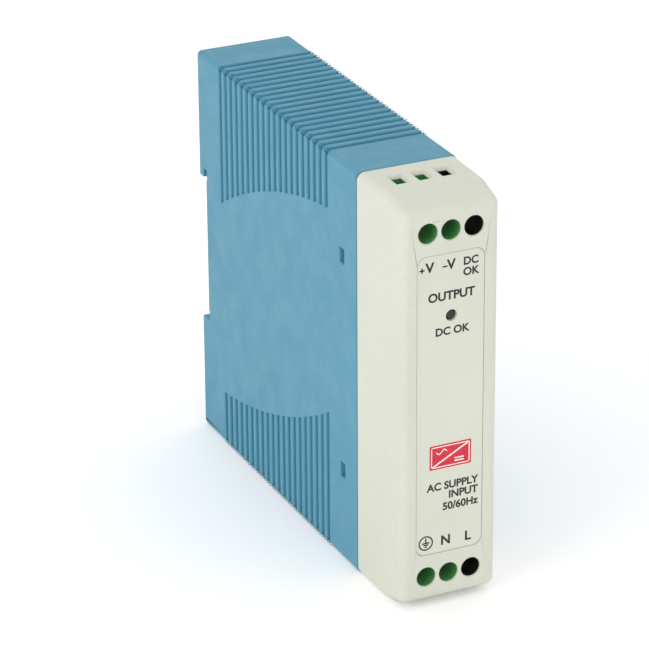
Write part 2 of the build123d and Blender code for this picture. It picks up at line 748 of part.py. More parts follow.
def save_power_stage():
    """Bulk capacitor, switch on its heat sink, transformer and control parts."""
    radius = 6.2
    y = from_rear(7.5)
    low = from_bottom(8)
    length = 25.0
    middle = BOARD_FACE + 0.3 + radius
    can = rod_z(radius, middle, y, (low, low + length))
    rim = rod_z(radius + 1, middle, y, (low + 2, low + 3)) - rod_z(radius - 0.3, middle, y, (low, low + 5))
    can = can - rim
    feet = leads([(y - 2.5, low - 1.2), (y + 2.5, low - 1.2)], middle)
    for foot in (y - 2.5, y + 2.5):
        feet.append(rod_z(LEAD_RADIUS, middle - LEAD_RADIUS, foot, (low - 1.2, low + 0.5)))
    save("bulk_capacitor", joined(can, feet))

    save_switch("primary", from_front(43), from_bottom(33), 24.0, 1)
    save_transformer(from_front(24), from_bottom(34))

    y = from_front(57)
    z = from_bottom(46)
    chip = block((BOARD_FACE + CHIP_STAND, BOARD_FACE + 1.6), (y - 2.0, y + 2.0), (z - 2.5, z + 2.5))
    for step in range(4):
        rise = z - 1.9 + step * 1.27
        foot = block((BOARD_FACE, BOARD_FACE + 0.4), (y - 3.0, y + 3.0), (rise - 0.2, rise + 0.2))
        chip = chip + foot
    save("control_chip", chip)

    y = from_front(8)
    z = from_bottom(32)
    coupler = block((BOARD_FACE + 0.5, BOARD_FACE + 4.0), (y - 3.2, y + 3.2), (z - 2.3, z + 2.3))
    places = [(y + a, z + b) for a in (-3.8, 3.8) for b in (-1.27, 1.27)]
    for rise in (z - 1.27, z + 1.27):
        arm = block((BOARD_FACE + 1.9, BOARD_FACE + 2.5), (y - 4.1, y + 4.1), (rise - 0.3, rise + 0.3))
        coupler = coupler + arm
    save("optocoupler", joined(coupler, leads(places, BOARD_FACE + 2.2)))
    save("bridging_capacitor", standing_disc(3.8, 3.0, from_front(8), from_bottom(22)))


def save_switch(side, y, z, length, facing):
    """A flat heat sink standing on the board, with a tabbed part, its pad and its screw."""
    top = INNER_HALF - 0.8
    low = BOARD_FACE + TOUCH_GAP
    plate = block((low, top), (y, y + 1.5), (z - length / 2, z + length / 2))
    feet = leads([(y + 0.75, z - length / 2 + 2), (y + 0.75, z + length / 2 - 2)], BOARD_FACE + 1)
    screw_x = top - 3.2
    screw_radius = 1.45
    hole = rod_y(screw_radius + 0.05, screw_x, (y - 8, y + 8), z)
    save(f"{side}_heat_sink", joined(plate, feet) - hole)

    start = y + 1.5 if facing > 0 else y
    pad_span = sorted((start, start + facing * 0.3))
    pad = block((low, top), pad_span, (z - 5.5, z + 5.5))
    save(f"{side}_heat_sink_pad", pad - hole)

    tab_start = start + facing * 0.3
    tab_span = sorted((tab_start, tab_start + facing * 1.3))
    tab = block((screw_x - 3.4, screw_x + 3.0), tab_span, (z - 5, z + 5))
    body_span = sorted((tab_start, tab_start + facing * 4.4))
    body = block((low, screw_x - 3.3), body_span, (z - 5, z + 5))
    lead_y = tab_start + facing * 2.6
    pins = leads([(lead_y, z + step) for step in (-2.54, 0, 2.54)], low + 0.6)
    part = joined(tab + body, pins) - hole
    name = "power_transistor" if side == "primary" else "output_rectifier"
    save(name, part)

    head_start = tab_start + facing * 1.3
    shank = rod_y(screw_radius, screw_x, sorted((head_start, y + 0.75 - facing * 2.5)), z)
    head = rod_y(2.6, screw_x, sorted((head_start, head_start + facing * 1.8)), z)
    slot_span = sorted((head_start + facing, head_start + facing * 3))
    cross = block((screw_x - 2.0, screw_x + 2.0), slot_span, (z - 0.3, z + 0.3))
    save(f"{side}_heat_sink_screw", head + shank - cross)


def save_transformer(y, z):
    """Two E-shaped core halves, a bobbin on the middle leg and the winding on the bobbin."""
    low = BOARD_FACE + 0.9
    thick = 5.6
    half_y = 9.8
    half_z = 9.0
    bar = 3.0
    centre_x = low + 3.2 + thick / 2
    x = (centre_x - thick / 2, centre_x + thick / 2)
    core = block(x, (y - half_y, y + half_y), (z - half_z, z + half_z))
    for side in (-1, 1):
        span = sorted((y + side * 2.6, y + side * (half_y - bar)))
        core = core - block((low - 5, low + 20), span, (z - half_z + bar, z + half_z - bar))
    save("transformer_core", core)

    leg = 2.6
    gap = 0.15
    wall = 0.7
    flange_z = half_z - bar - gap
    tube = block(
        (x[0] - gap - wall, x[1] + gap + wall),
        (y - leg - gap - wall, y + leg + gap + wall),
        (z - flange_z, z + flange_z),
    )
    reach = half_y - bar - 0.3
    flanges = []
    for side in (-1, 1):
        rise = sorted((z + side * flange_z, z + side * (flange_z - 0.8)))
        flanges.append(block((x[0] - 3.2, x[1] + 2.2), (y - reach, y + reach), rise))
    bobbin = tube + flanges[0] + flanges[1]
    bobbin = bobbin - block((x[0] - gap, x[1] + gap), (y - leg - gap, y + leg + gap), (0, HEIGHT))
    places = [(y + step, z + side * (flange_z - 0.4)) for step in (-4.5, 0, 4.5) for side in (-1, 1)]
    save("transformer_bobbin", joined(bobbin, leads(places, x[0] - 2.8)))

    fit = 0.05
    turns = block(
        (x[0] - gap - wall - 1.6, x[1] + gap + wall + 1.2),
        (y - reach + 0.4, y + reach - 0.4),
        (z - flange_z + 0.8 + fit, z + flange_z - 0.8 - fit),
    )
    turns = fillet(turns.edges().filter_by(Axis.Z), 1.2)
    inside = block(
        (x[0] - gap - wall - fit, x[1] + gap + wall + fit),
        (y - leg - gap - wall - fit, y + leg + gap + wall + fit),
        (0, HEIGHT),
    )
    save("transformer_winding", turns - inside)


def save_output_parts():
    """Rectifier on its heat sink, smoothing capacitors and inductor, along the top of the board."""
    save_switch("secondary", from_front(13), from_top(16), 20.0, -1)
    cans = [standing_can(4.0, 12.0, from_front(22 + 9.5 * step), from_top(13)) for step in range(2)]
    save("output_capacitors", Compound(cans))

    y = from_front(43)
    z = from_top(13)
    low = BOARD_FACE + 0.4
    core = rod_x(4.5, (low, low + 1.2), y, z)
    core = core + rod_x(2.0, (low, low + 10), y, z)
    core = core + rod_x(4.5, (low + 8.8, low + 10), y, z)
    core = joined(core, leads([(y - 3, z), (y + 3, z)], low + 0.6))
    save("output_inductor_core", core)
    winding = rod_x(4.1, (low + 1.3, low + 8.7), y, z) - rod_x(2.1, (low, low + 10), y, z)
    save("output_inductor_winding", winding)


def save_chip_parts():
    """Small flat parts on the solder side of the main board."""
    pieces = []
    for row in range(4):
        for column in range(3):
            y = from_rear(6 + column * 3.2)
            z = from_top(20 + row * 3)
            span = (BOARD_LEFT - 0.6, BOARD_LEFT)
            pieces.append(block(span, (y - 1.0, y + 1.0), (z - 0.6, z + 0.6)))
    save("chip_parts", Compound(pieces))


# ---------------------------------------------------------------- boards and lamp


def header_places():
    """Heights of the pins that join the two boards."""
    return [MID - 6.35 + 2.54 * step for step in range(6)]


def save_header():
    """The row of bent pins that joins the front board to the main board."""
    low_x = BOARD_FACE
    rise = (header_places()[0] - 1.27, header_places()[-1] + 1.27)
    span = (BOARD_START + 0.2, BOARD_START + 2.7)
    body = block((low_x, low_x + 2.5), span, rise)
    pin_y = BOARD_START + 1.45
    for z in header_places():
        lead_places.append((pin_y, z))
        down = rod_x(LEAD_RADIUS, (BOARD_LEFT - LEAD_TAIL, low_x + 1.5), pin_y, z)
        out = rod_y(LEAD_RADIUS, low_x + 1.25, (BLOCK_END_FACE - 0.8, pin_y), z)
        body = body + down + out
    save("board_header", body)


def save_boards():
    """The front board behind the terminals and the main board in the housing's ribs."""
    half = INNER_HALF - FIT - TONGUE_THICKNESS - FIT
    low = WALL + FIT + LIP_THICKNESS + FIT
    front = block((-half, half), (BLOCK_END_FACE, FRONT_BOARD_END), (low, HEIGHT - low))
    pin_low = BLOCK_REACH - 0.5 - BAR_THICKNESS / 2
    for x in POLE_PLACES:
        for z in (HEIGHT - TERMINAL_INSET - pin_low, TERMINAL_INSET + pin_low):
            front = front - rod_y(PIN_WIDTH / 2 + 0.2, x, (0, DEPTH), z)
    for z in header_places():
        front = front - rod_y(LEAD_RADIUS + LEAD_GAP, BOARD_FACE + 1.25, (0, DEPTH), z)
    save("front_board", front)

    main = block((BOARD_LEFT, BOARD_FACE), (BOARD_START, BOARD_END), (BOARD_LOW, BOARD_HIGH))
    for y, z in lead_places:
        main = main - rod_x(LEAD_RADIUS + LEAD_GAP, (BOARD_LEFT - 1, BOARD_FACE + 1), y, z)
    save("main_board", main)

    left = BOARD_LEFT - SHEET_GAP - SHEET_THICKNESS
    rise = (WALL + RIB_HEIGHT + FIT, HEIGHT - WALL - RIB_HEIGHT - FIT)
    save("insulation_sheet", block((left, left + SHEET_THICKNESS), (BOARD_START + 1, BOARD_END), rise))


def save_lamp():
    """The lamp on the front board and the clear rod that carries its light to the face."""
    lamp_start = BLOCK_END_FACE - LAMP_LENGTH
    lamp = rod_y(LAMP_RADIUS, LAMP_OFFSET, (lamp_start, BLOCK_END_FACE), LAMP_HEIGHT)
    lamp = lamp + rod_y(LAMP_RADIUS + 0.3, LAMP_OFFSET, (BLOCK_END_FACE - 0.8, BLOCK_END_FACE), LAMP_HEIGHT)
    save("lamp", lamp)
    save("light_pipe", rod_y(PIPE_RADIUS, LAMP_OFFSET, (PIPE_START, lamp_start), LAMP_HEIGHT))


def main():
    os.makedirs("parts", exist_ok=True)
    save("rear_housing", make_rear_housing())
    save("front_cover", make_front_cover())
    save("front_label", make_front_label())
    save("rail_latch", make_rail_latch())
    save("latch_spring", make_latch_spring())
    save_terminals()
    save_input_parts()
    save_line_choke()
    save_power_stage()
    save_output_parts()
    save_chip_parts()
    save_header()
    save_boards()
    save_lamp()


main()
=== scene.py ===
"""Looks of a slim rail-mounted power supply, laid out as a Blender add-on and run as a script.

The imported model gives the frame: every size and place below comes from its boxes.  Lengths are
in metres: X across the case, Y from the front face to the rail side, Z up.
"""

import json
import math

import bmesh
import bpy
from mathutils import Euler, Matrix, Vector


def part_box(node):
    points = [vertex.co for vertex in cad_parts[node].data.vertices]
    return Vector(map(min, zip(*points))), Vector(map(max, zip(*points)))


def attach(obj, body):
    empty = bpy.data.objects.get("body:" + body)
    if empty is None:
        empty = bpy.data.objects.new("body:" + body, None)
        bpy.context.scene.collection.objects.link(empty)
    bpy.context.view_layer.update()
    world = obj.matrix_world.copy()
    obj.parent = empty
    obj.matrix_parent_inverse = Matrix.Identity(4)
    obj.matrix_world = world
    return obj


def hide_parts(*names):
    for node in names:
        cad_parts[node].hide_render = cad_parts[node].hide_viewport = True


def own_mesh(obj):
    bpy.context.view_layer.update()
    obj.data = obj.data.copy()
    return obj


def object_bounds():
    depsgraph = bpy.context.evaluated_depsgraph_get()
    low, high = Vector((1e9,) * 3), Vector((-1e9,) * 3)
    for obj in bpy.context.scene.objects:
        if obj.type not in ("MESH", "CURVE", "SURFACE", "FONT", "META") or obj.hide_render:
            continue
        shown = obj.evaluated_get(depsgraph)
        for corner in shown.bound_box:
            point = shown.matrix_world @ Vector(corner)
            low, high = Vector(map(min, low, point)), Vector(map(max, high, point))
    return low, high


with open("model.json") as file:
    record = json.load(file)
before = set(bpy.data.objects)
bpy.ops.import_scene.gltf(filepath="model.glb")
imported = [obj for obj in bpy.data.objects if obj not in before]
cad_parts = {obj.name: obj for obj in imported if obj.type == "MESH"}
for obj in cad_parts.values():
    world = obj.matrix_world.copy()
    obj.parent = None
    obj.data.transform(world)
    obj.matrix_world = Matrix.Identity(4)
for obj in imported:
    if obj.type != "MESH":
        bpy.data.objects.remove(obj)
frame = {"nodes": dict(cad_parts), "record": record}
CAD_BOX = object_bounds()

bl_info = {
    "name": "Slim rail power supply",
    "version": (1, 0, 0),
    "blender": (4, 5, 0),
    "location": "View3D > Sidebar > Power supply",
    "description": "Dresses the packed parts of a slim rail-mounted power supply",
    "category": "Object",
}

MM = 0.001
CASE_CORNER = 1.2 * MM  # radius of the case's outer edges
HEAD_DEPTH = 1.6 * MM  # height of a screw's head
SHANK_RADIUS = 1.45 * MM
SIGN_STROKE = 0.3 * MM  # width of the printed signs' strokes
BODY_OF = {n: b for b, nodes in frame["record"]["behaviour"]["bodies"].items() for n in nodes}
SLOT_OF = {s["node"]: s["material_slot"] for s in frame["record"]["subparts"]}
SIDES = ("dc", "ac")
POLES = (1, 2, 3)


def centre_of(node):
    low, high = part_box(node)
    return (low + high) / 2


def tone(red, green, blue):
    """A colour given as display values of 0 to 255, as the linear values that a shader takes."""
    linear = []
    for value in (red, green, blue):
        share = value / 255
        linear.append(share / 12.92 if share <= 0.04045 else ((share + 0.055) / 1.055) ** 2.4)
    return tuple(linear)


# ---------------------------------------------------------------- settings


def length(name, description, default):
    return bpy.props.FloatProperty(
        name=name, description=description, default=default, unit="LENGTH", precision=5
    )


def colour(name, description, default):
    return bpy.props.FloatVectorProperty(
        name=name, description=description, default=default, size=3, subtype="COLOR", min=0, max=1
    )


class CaseSettings(bpy.types.PropertyGroup):
    ridge_round: length("Ridge rounding", "Rounding of the ridges and outer edges of the housing", 0.00028)
    edge_round: length("Edge rounding", "Rounding of every other moulded edge", 0.0001)
    housing_colour: colour("Housing colour", "Moulded colour of the housing", tone(78, 143, 167))
    cover_colour: colour("Cover colour", "Moulded colour of the front cover", tone(206, 208, 194))
    latch_colour: colour("Latch colour", "Moulded colour of the rail latch", tone(52, 54, 58))
    grain: length("Grain size", "Size of the texture in the moulded surfaces", 0.00032)


class LabelSettings(bpy.types.PropertyGroup):
    film_colour: colour("Film colour", "Colour of the label film", tone(207, 210, 195))
    ink_colour: colour("Ink colour", "Colour of the printed marks", tone(40, 45, 47))
    badge_colour: colour("Badge colour", "Colour of the printed badge", tone(204, 48, 66))
    small_letters: length("Small letters", "Height of the small capitals", 0.0016)
    large_letters: length("Large letters", "Height of the terminal letters", 0.002)
    ink_height: length("Ink height", "How far the print stands proud of the film", 0.00002)
    badge_width: length("Badge width", "Width of the printed badge", 0.0094)
    badge_height: length("Badge height", "Height of the printed badge", 0.0054)


class TerminalSettings(bpy.types.PropertyGroup):
    first_colour: colour("Body colour", "Colour of the two-pole terminal bodies", tone(84, 158, 88))
    # The single terminal bodies get a near-black colour: painted shade for the dark third terminal holes, not
    # the moulding's own colour.
    third_pole_shade_colour: colour("Third pole painted shade", "Colour of the single terminal bodies", tone(24, 30, 30))
    thread_pitch: length("Thread pitch", "Rise of the screw thread in one turn", 0.0005)
    slot_width: length("Slot width", "Width of the screwdriver slot", 0.0006)


class LatchSettings(bpy.types.PropertyGroup):
    wire: length("Wire", "Diameter of the spring wire", 0.0005)
    turns: bpy.props.FloatProperty(name="Turns", description="Turns of the spring", default=7.5, min=3)


class InsideSettings(bpy.types.PropertyGroup):
    board_colour: colour("Board colour", "Colour of the boards' solder mask", tone(38, 104, 60))
    sleeve_colour: colour("Sleeve colour", "Colour of the capacitors' sleeves", tone(34, 36, 48))


class StageSettings(bpy.types.PropertyGroup):
    turn: bpy.props.FloatProperty(
        name="Camera turn", description="Turn of the camera about Z", default=math.radians(-24.952),
        subtype="ANGLE",
    )
    tilt: bpy.props.FloatProperty(
        name="Camera tilt", description="Camera's angle from straight down", default=math.radians(65.832),
        subtype="ANGLE",
    )
    roll: bpy.props.FloatProperty(
        name="Camera roll", description="Roll about the line of sight", default=math.radians(-0.4406),
        subtype="ANGLE",
    )
    place: bpy.props.FloatVectorProperty(
        name="Camera place", description="Where the camera stands", default=(-0.29188, -0.61782, 0.34917),
        size=3, subtype="XYZ_LENGTH", precision=5,
    )
    lens: bpy.props.FloatProperty(name="Lens", description="Focal length in millimetres", default=195.35)
    floor_colour: colour("Floor colour", "Colour of the floor", (0.97, 0.97, 0.97))
    floor_glow: bpy.props.FloatProperty(
        name="Floor glow", description="Strength of the light the floor gives off", default=0.1, min=0
    )
    sky: bpy.props.FloatProperty(name="Sky", description="Strength of the even light", default=0.98, min=0)
    key: bpy.props.FloatProperty(
        name="Key", description="Power of the key light in watts", default=2.2, min=0
    )


# ---------------------------------------------------------------- hand tools


def deselect():
    if bpy.context.object and bpy.context.object.mode != "OBJECT":
        bpy.ops.object.mode_set(mode="OBJECT")
    bpy.ops.object.select_all(action="DESELECT")


def pick(*pieces):
    """Select only these pieces, with the first one active."""
    deselect()
    for piece in pieces:
        piece.select_set(True)
    bpy.context.view_layer.objects.active = pieces[0]


def open_mesh(piece, mode="FACE"):
    """Edit mode with nothing selected."""
    pick(piece)
    bpy.ops.object.mode_set(mode="EDIT")
    bpy.ops.mesh.select_mode(type=mode)
    bpy.ops.mesh.select_all(action="DESELECT")


def close_mesh():
    bpy.ops.object.mode_set(mode="OBJECT")


def choose(piece, kind, test):
    """In edit mode, select only the faces, edges or verts that pass the test."""
    bpy.ops.mesh.select_mode(type={"faces": "FACE", "edges": "EDGE", "verts": "VERT"}[kind])
    bpy.ops.mesh.select_all(action="DESELECT")
    mesh = bmesh.from_edit_mesh(piece.data)
    for item in getattr(mesh, kind):
        if test(item):
            item.select_set(True)
    mesh.select_flush_mode()
    bmesh.update_edit_mesh(piece.data)


def edge_middle(edge):
    return (edge.verts[0].co + edge.verts[1].co) / 2


def add_box(centre, size):
    deselect()
    bpy.ops.mesh.primitive_cube_add(size=1, location=centre, scale=size)
    piece = bpy.context.object
    bpy.ops.object.transform_apply(location=True, rotation=True, scale=True)
    return piece


TURNS = {"X": (0, math.pi / 2, 0), "Y": (math.pi / 2, 0, 0), "Z": (0, 0, 0)}


def add_rod(centre, radius, depth, axis, sides=48):
    deselect()
    bpy.ops.mesh.primitive_cylinder_add(
        vertices=sides, radius=radius, depth=depth, location=centre, rotation=TURNS[axis]
    )
    piece = bpy.context.object
    bpy.ops.object.transform_apply(location=True, rotation=True, scale=True)
    return piece


def apply_modifier(piece, kind, **values):
    pick(piece)
    modifier = piece.modifiers.new(kind.lower(), kind)
    for name, value in values.items():
        setattr(modifier, name, value)
    bpy.ops.object.modifier_apply(modifier=modifier.name)


def cut(piece, tool):
    """Take the tool's shape out of the piece."""
    apply_modifier(piece, "BOOLEAN", object=tool, operation="DIFFERENCE", solver="EXACT")
    bpy.data.objects.remove(tool)


def join(pieces):
    pick(*pieces)
    if len(pieces) > 1:
        bpy.ops.object.join()
    return pieces[0]


def copy_of(piece, shift=(0, 0, 0)):
    """A copy with its own mesh, moved in its mesh."""
    twin = bpy.data.objects.new(piece.name + "_copy", piece.data.copy())
    bpy.context.scene.collection.objects.link(twin)
    twin.data.transform(Matrix.Translation(shift))
    return twin


def soften(piece, width, segments=2, angle=35):
    apply_modifier(
        piece, "BEVEL", width=width, segments=segments, limit_method="ANGLE",
        angle_limit=math.radians(angle), use_clamp_overlap=False,
    )


def smooth(piece, angle=32):
    pick(piece)
    bpy.ops.object.shade_smooth_by_angle(angle=math.radians(angle))
    apply_modifier(piece, "WEIGHTED_NORMAL", mode="FACE_AREA", keep_sharp=True, weight=60)


def keep_inside(piece, node):
    """Bring back whatever a bevel has pushed out of the box of the CAD node."""
    low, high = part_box(node)
    for vert in piece.data.vertices:
        vert.co = [min(max(value, start), end) for value, start, end in zip(vert.co, low, high)]


def finish_piece(piece, name, node, material, replaces=True):
    """Name the piece, hang it on the body of its CAD node and give it its finish."""
    pick(piece)
    bpy.ops.object.transform_apply(location=True, rotation=True, scale=True)
    piece.name = name
    piece.data.name = name
    piece.data.materials.clear()
    piece.data.materials.append(material)
    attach(piece, BODY_OF[node])
    if replaces:
        keep_inside(piece, node)
        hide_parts(node)
    return piece


def merged_copy(node):
    """A copy of a CAD mesh with its doubles merged."""
    piece = bpy.data.objects.new(node + "_copy", frame["nodes"][node].data.copy())
    bpy.context.scene.collection.objects.link(piece)
    open_mesh(piece)
    bpy.ops.mesh.customdata_custom_splitnormals_clear()
    bpy.ops.mesh.select_all(action="SELECT")
    bpy.ops.mesh.remove_doubles(threshold=1e-6)
    close_mesh()
    return piece


# ---------------------------------------------------------------- finishes


class Finish:
    """A material under construction: its nodes, its principled shader and short ways to wire them."""

    def __init__(self, name, rough=0.5, metal=0.0, **values):
        self.material = bpy.data.materials.new(name)
        self.material.use_nodes = True
        self.tree = self.material.node_tree
        self.shader = self.tree.nodes["Principled BSDF"]
        self.set("Roughness", rough)
        self.set("Metallic", metal)
        for key, value in values.items():
            self.set(key.replace("_", " "), value)
        self.where = self.add("ShaderNodeTexCoord").outputs["Object"]

    def set(self, socket, value):
        self.shader.inputs[socket].default_value = value

    def add(self, kind, **values):
        node = self.tree.nodes.new(kind)
        for key, value in values.items():
            setattr(node, key, value)
        return node

    def link(self, source, target):
        self.tree.links.new(source, target)

    def noise(self, size, detail=3.0, stretch=(1, 1, 1)):
        """Noise whose blotches are about this long."""
        place = self.add("ShaderNodeMapping")
        place.inputs["Scale"].default_value = stretch
        self.link(self.where, place.inputs["Vector"])
        noise = self.add("ShaderNodeTexNoise")
        noise.inputs["Scale"].default_value = 1 / size
        noise.inputs["Detail"].default_value = detail
        self.link(place.outputs["Vector"], noise.inputs["Vector"])
        return noise.outputs["Fac"]

    def stretch_range(self, value, low, high, start=0.35, end=0.65):
        span = self.add("ShaderNodeMapRange")
        span.inputs["From Min"].default_value = start
        span.inputs["From Max"].default_value = end
        span.inputs["To Min"].default_value = low
        span.inputs["To Max"].default_value = high
        self.link(value, span.inputs["Value"])
        return span.outputs["Result"]

    def blend(self, factor, first, second):
        """A colour between two colours, each a value or a socket."""
        mix = self.add("ShaderNodeMix", data_type="RGBA")
        self.link(factor, mix.inputs["Factor"])
        for socket, value in (("A", first), ("B", second)):
            target = [item for item in mix.inputs if item.name == socket and item.type == "RGBA"][0]
            if isinstance(value, bpy.types.NodeSocket):
                self.link(value, target)
            else:
                target.default_value = (*value[:3], 1)
        return [item for item in mix.outputs if item.type == "RGBA"][0]

    def paint(self, colour_socket):
        self.link(colour_socket, self.shader.inputs["Base Color"])

    def roughen(self, value):
        self.link(value, self.shader.inputs["Roughness"])

    def bump(self, value, depth, strength=1.0):
        node = self.add("ShaderNodeBump")
        node.inputs["Strength"].default_value = strength
        node.inputs["Distance"].default_value = depth
        self.link(value, node.inputs["Height"])
        if self.shader.inputs["Normal"].is_linked:
            self.link(self.shader.inputs["Normal"].links[0].from_socket, node.inputs["Normal"])
        self.link(node.outputs["Normal"], self.shader.inputs["Normal"])


def shade(base, share):
    return tuple(min(1.0, max(0.0, value * share)) for value in base)


def moulded(name, base, grain, rough=0.5, gloss=0.4, mottle=0.05):
    """Moulded plastic: fine spark texture, faint flow marks and uneven gloss."""
    skin = Finish(name, rough=rough, Specular_IOR_Level=gloss)
    cloud = skin.noise(0.022, 4)
    fleck = skin.noise(grain * 2.5, 2)
    broad = skin.blend(skin.stretch_range(cloud, 0, 1), shade(base, 1 - mottle), shade(base, 1 + mottle))
    tiny = skin.blend(skin.stretch_range(fleck, 0, 0.16), broad, shade(base, 0.82))
    skin.paint(tiny)
    skin.roughen(skin.stretch_range(skin.noise(0.006, 3), rough - 0.07, rough + 0.09))
    skin.bump(skin.noise(grain, 4), grain * 0.06, 0.55)
    return skin.material


def film(name, base):
    """Printed film: satin, nearly flat, with a faint orange-peel surface."""
    skin = Finish(name, rough=0.34, Specular_IOR_Level=0.45)
    cloud = skin.noise(0.03, 3)
    skin.paint(skin.blend(skin.stretch_range(cloud, 0, 1), shade(base, 0.975), shade(base, 1.02)))
    skin.roughen(skin.stretch_range(skin.noise(0.004, 3), 0.3, 0.42))
    skin.bump(skin.noise(0.0009, 2), 0.000012, 0.5)
    return skin.material


def ink(name, base):
    """Screen-printed ink: slightly patchy cover and a dry surface."""
    skin = Finish(name, rough=0.55, Specular_IOR_Level=0.3)
    patch = skin.noise(0.00035, 4)
    skin.paint(skin.blend(skin.stretch_range(patch, 0, 1), shade(base, 0.86), shade(base, 1.16)))
    skin.roughen(skin.stretch_range(patch, 0.48, 0.64))
    skin.bump(patch, 0.000006, 0.5)
    return skin.material


def metal(name, base, rough, scratch=(1, 1, 1), tarnish=0.12):
    """Worked metal: fine lines along one way and light tarnish."""
    skin = Finish(name, rough=rough, metal=1.0)
    lines = skin.noise(0.00018, 3, scratch)
    cloud = skin.noise(0.0025, 4)
    skin.paint(skin.blend(skin.stretch_range(cloud, 0, 1), shade(base, 1 - tarnish), base))
    skin.roughen(skin.stretch_range(lines, rough - 0.08, rough + 0.12))
    skin.bump(lines, 0.000008, 0.6)
    return skin.material


def clear(name, base):
    """Tinted clear plastic with a slightly hazy surface."""
    skin = Finish(name, rough=0.08, Transmission_Weight=0.85, IOR=1.49)
    cloud = skin.noise(0.0012, 3)
    skin.paint(skin.blend(skin.stretch_range(cloud, 0, 1), shade(base, 0.9), base))
    skin.roughen(skin.stretch_range(skin.noise(0.0006, 3), 0.05, 0.16))
    skin.bump(cloud, 0.00001, 0.4)
    return skin.material


# ---------------------------------------------------------------- operators


def skin_depth(point, case, corner=CASE_CORNER):
    """How far a point lies inside the outer skin of the case, whose box is given, in a section across Y."""
    low, high = case
    across = abs(point.x) - (high.x - corner)
    up = abs(point.z - (low.z + high.z) / 2) - ((high.z - low.z) / 2 - corner)
    if across > 0 and up > 0:
        return corner - math.hypot(across, up)
    return corner - max(across, up)


class SUPPLY_OT_housing(bpy.types.Operator):
    """Model the housing with rounded ridges"""

    bl_idname = "supply.housing"
    bl_label = "Housing"

    def execute(self, context):
        scene = context.scene
        sizes = scene.case_settings
        piece = merged_copy("rear_housing")
        open_mesh(piece)
        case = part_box("rear_housing")
        sharp = math.radians(50)
        near = 0.02 * MM

        def outer_edge(edge):
            if len(edge.link_faces) != 2 or edge.calc_face_angle_signed() < sharp:
                return False
            return all(skin_depth(vert.co, case) < near for vert in edge.verts)

        choose(piece, "edges", outer_edge)
        bpy.ops.mesh.bevel(offset=sizes.ridge_round, segments=3, affect="EDGES", clamp_overlap=False)
        close_mesh()
        soften(piece, sizes.edge_round, 2, 46)
        smooth(piece, 38)
        finish = moulded("housing_plastic", sizes.housing_colour, sizes.grain, 0.5, 0.42, 0.015)
        finish_piece(piece, "housing_shell", "rear_housing", finish)
        return {"FINISHED"}


class SUPPLY_OT_cover(bpy.types.Operator):
    """Model the front cover with rounded edges"""

    bl_idname = "supply.cover"
    bl_label = "Front cover"

    def execute(self, context):
        scene = context.scene
        sizes = scene.case_settings
        piece = merged_copy("front_cover")
        soften(piece, sizes.edge_round, 3, 30)
        smooth(piece, 35)
        finish = moulded("cover_plastic", sizes.cover_colour, sizes.grain, 0.46, 0.42, 0.02)
        finish_piece(piece, "front_cover_shell", "front_cover", finish)
        return {"FINISHED"}


class SUPPLY_OT_label(bpy.types.Operator):
    """Model the label film"""

    bl_idname = "supply.label"
    bl_label = "Label film"

    def execute(self, context):
        scene = context.scene
        piece = merged_copy("front_label")
        soften(piece, 0.00004, 2, 35)
        smooth(piece, 35)
        finish_piece(piece, "label_film", "front_label", film("label_film", scene.label_settings.film_colour))
        return {"FINISHED"}


LETTER_SHARE = 0.685  # height of a capital in the built-in letters, as a share of their size


def printed(text, x, z, height, align="CENTER", weight=0.03):
    """Words lying on the label, with the middle of the capitals at the given place."""
    deselect()
    bpy.ops.object.text_add()
    words = bpy.context.object
    words.data.body = text
    words.data.size = height / LETTER_SHARE
    words.data.offset = weight * height / LETTER_SHARE
    words.data.extrude = bpy.context.scene.label_settings.ink_height
    words.data.align_x = align
    words.data.resolution_u = 6
    bpy.ops.object.convert(target="MESH")
    place = Vector((x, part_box("front_label")[0].y, z - height / 2))
    words.matrix_world = Matrix.Translation(place) @ Euler((math.pi / 2, 0, 0)).to_matrix().to_4x4()
    bpy.ops.object.transform_apply(location=True, rotation=True, scale=True)
    return words


def bar(x, z, wide, high, angle=0.0, lift=1.0):
    """A printed stroke on the label."""
    thick = 2 * bpy.context.scene.label_settings.ink_height * lift
    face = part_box("front_label")[0].y
    piece = add_box((0, 0, 0), (wide, thick, high))
    piece.matrix_world = Matrix.Translation((x, face, z)) @ Euler((0, angle, 0)).to_matrix().to_4x4()
    pick(piece)
    bpy.ops.object.transform_apply(location=True, rotation=True, scale=True)
    return piece


def ring(x, z, radius, width):
    """A printed circle on the label."""
    thick = 2 * bpy.context.scene.label_settings.ink_height
    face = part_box("front_label")[0].y
    piece = add_rod((x, face, z), radius, thick, "Y", 40)
    open_mesh(piece)
    choose(piece, "faces", lambda item: abs(item.normal.y) > 0.9)
    bpy.ops.mesh.inset(thickness=width, use_individual=True)
    bpy.ops.mesh.bridge_edge_loops()
    close_mesh()
    return piece


def terminal_place(pole):
    return centre_of(f"dc_terminal_screw_{pole}").x


